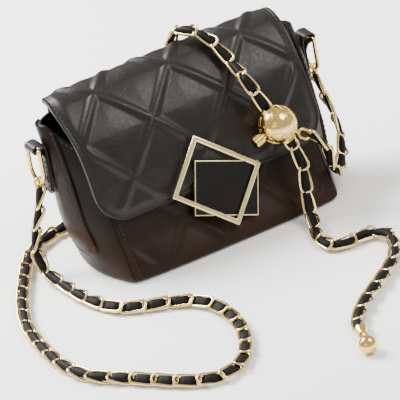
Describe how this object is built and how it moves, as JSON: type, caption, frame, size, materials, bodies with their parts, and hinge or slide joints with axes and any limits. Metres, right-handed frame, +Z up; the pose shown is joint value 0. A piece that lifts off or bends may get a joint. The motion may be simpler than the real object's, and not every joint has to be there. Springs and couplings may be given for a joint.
{
  "type": "crossbody purse",
  "caption": "Small quilted flap bag with bulging gussets, a square metal ornament, and a woven chain strap with a sliding ball adjuster and an end charm.",
  "frame": {"origin": "centre of the base's underside, on the surface the bag stands on", "axes": "+X along the bag's width to its wearer-side right, -Y out of the front, +Z up"},
  "size_m": [0.3074, 0.3238, 0.1377],
  "materials": {
    "black_leather": "smooth calf, low sheen",
    "brown_black_leather": "smooth calf, low sheen",
    "lining_cloth": "fine twill",
    "board": "stiffener board",
    "gold_metal": "polished plate",
    "pale_gold_metal": "brushed plate",
    "black_enamel": "gloss",
    "spring_steel": "plain wire",
    "woven_chain": "plated links with leather lace"
  },
  "bodies": {
    "root": {"front_panel": "black_leather", "back_panel": "black_leather", "base_panel": "brown_black_leather", "left_gusset": "black_leather", "right_gusset": "black_leather", "left_gusset_tongue": "brown_black_leather", "right_gusset_tongue": "brown_black_leather", "base_board": "board", "lining": "lining_cloth", "slip_pocket": "lining_cloth", "left_tab": "black_leather", "right_tab": "black_leather", "snap_socket": "gold_metal", "strap_end_cap": "gold_metal", "strap_left_drop": "woven_chain", "strap_floor_loop": "woven_chain", "strap_back_run": "woven_chain", "strap_over_ridge": "woven_chain", "strap_tail_drop": "woven_chain", "strap_tail_floor": "woven_chain", "strap_right_drop": "woven_chain", "strap_right_rise": "woven_chain"},
    "flap": {"flap_panel": "black_leather", "flap_lining": "lining_cloth", "snap_stud": "gold_metal", "ornament_plate": "black_enamel", "ornament_plate_rim": "pale_gold_metal", "ornament_frame": "pale_gold_metal", "ornament_posts": "gold_metal", "strap_front": "woven_chain", "strap_right_end": "woven_chain"},
    "ball": {"ball_upper_shell": "gold_metal", "ball_lower_shell": "gold_metal", "ball_seam_ring": "gold_metal", "ball_side_eye": "gold_metal", "ball_eye_link": "gold_metal", "button_spring": "spring_steel"},
    "button": {"push_button": "gold_metal", "button_plunger": "gold_metal"},
    "left_ring": {"left_d_ring": "gold_metal", "left_strap_link": "gold_metal"},
    "right_ring": {"right_d_ring": "gold_metal", "right_strap_link": "gold_metal"},
    "charm": {"charm_ball": "gold_metal"}
  },
  "joints": [
    {"name": "flap_hinge", "type": "hinge", "parent": "root", "child": "flap", "pos_m": [0, 0.03503, 0.12048], "axis": [-1, 0, 0], "range_deg": [0, 130], "deforming": ["strap_over_ridge", "strap_tail_drop", "strap_right_rise"]},
    {"name": "ball_slide", "type": "slide", "parent": "flap", "child": "ball", "axis": [-0.2924, 0.3582, 0.8867], "range_m": [-0.008, 0.016], "deforming": ["strap_right_end"]},
    {"name": "button_press", "type": "slide", "parent": "ball", "child": "button", "axis": [0.9563, 0.1095, 0.2711], "range_m": [0, 0.0018], "stiffness_N_per_m": 400, "springref_m": -0.002, "deforming": ["button_spring"]},
    {"name": "left_ring_swing", "type": "hinge", "parent": "root", "child": "left_ring", "pos_m": [-0.1137, 0.021, 0.098], "axis": [0, 1, 0], "range_deg": [0, 75], "deforming": ["strap_left_drop"]},
    {"name": "right_ring_swing", "type": "hinge", "parent": "root", "child": "right_ring", "pos_m": [0.1137, 0.021, 0.098], "axis": [0, -1, 0], "range_deg": [0, 75], "deforming": ["strap_right_drop"]},
    {"name": "charm_swing", "type": "hinge", "parent": "root", "child": "charm", "pos_m": [-0.00836, -0.23542, 0.005], "axis": [-0.9417, 0.3363, 0], "range_deg": [0, 26]}
  ]
}
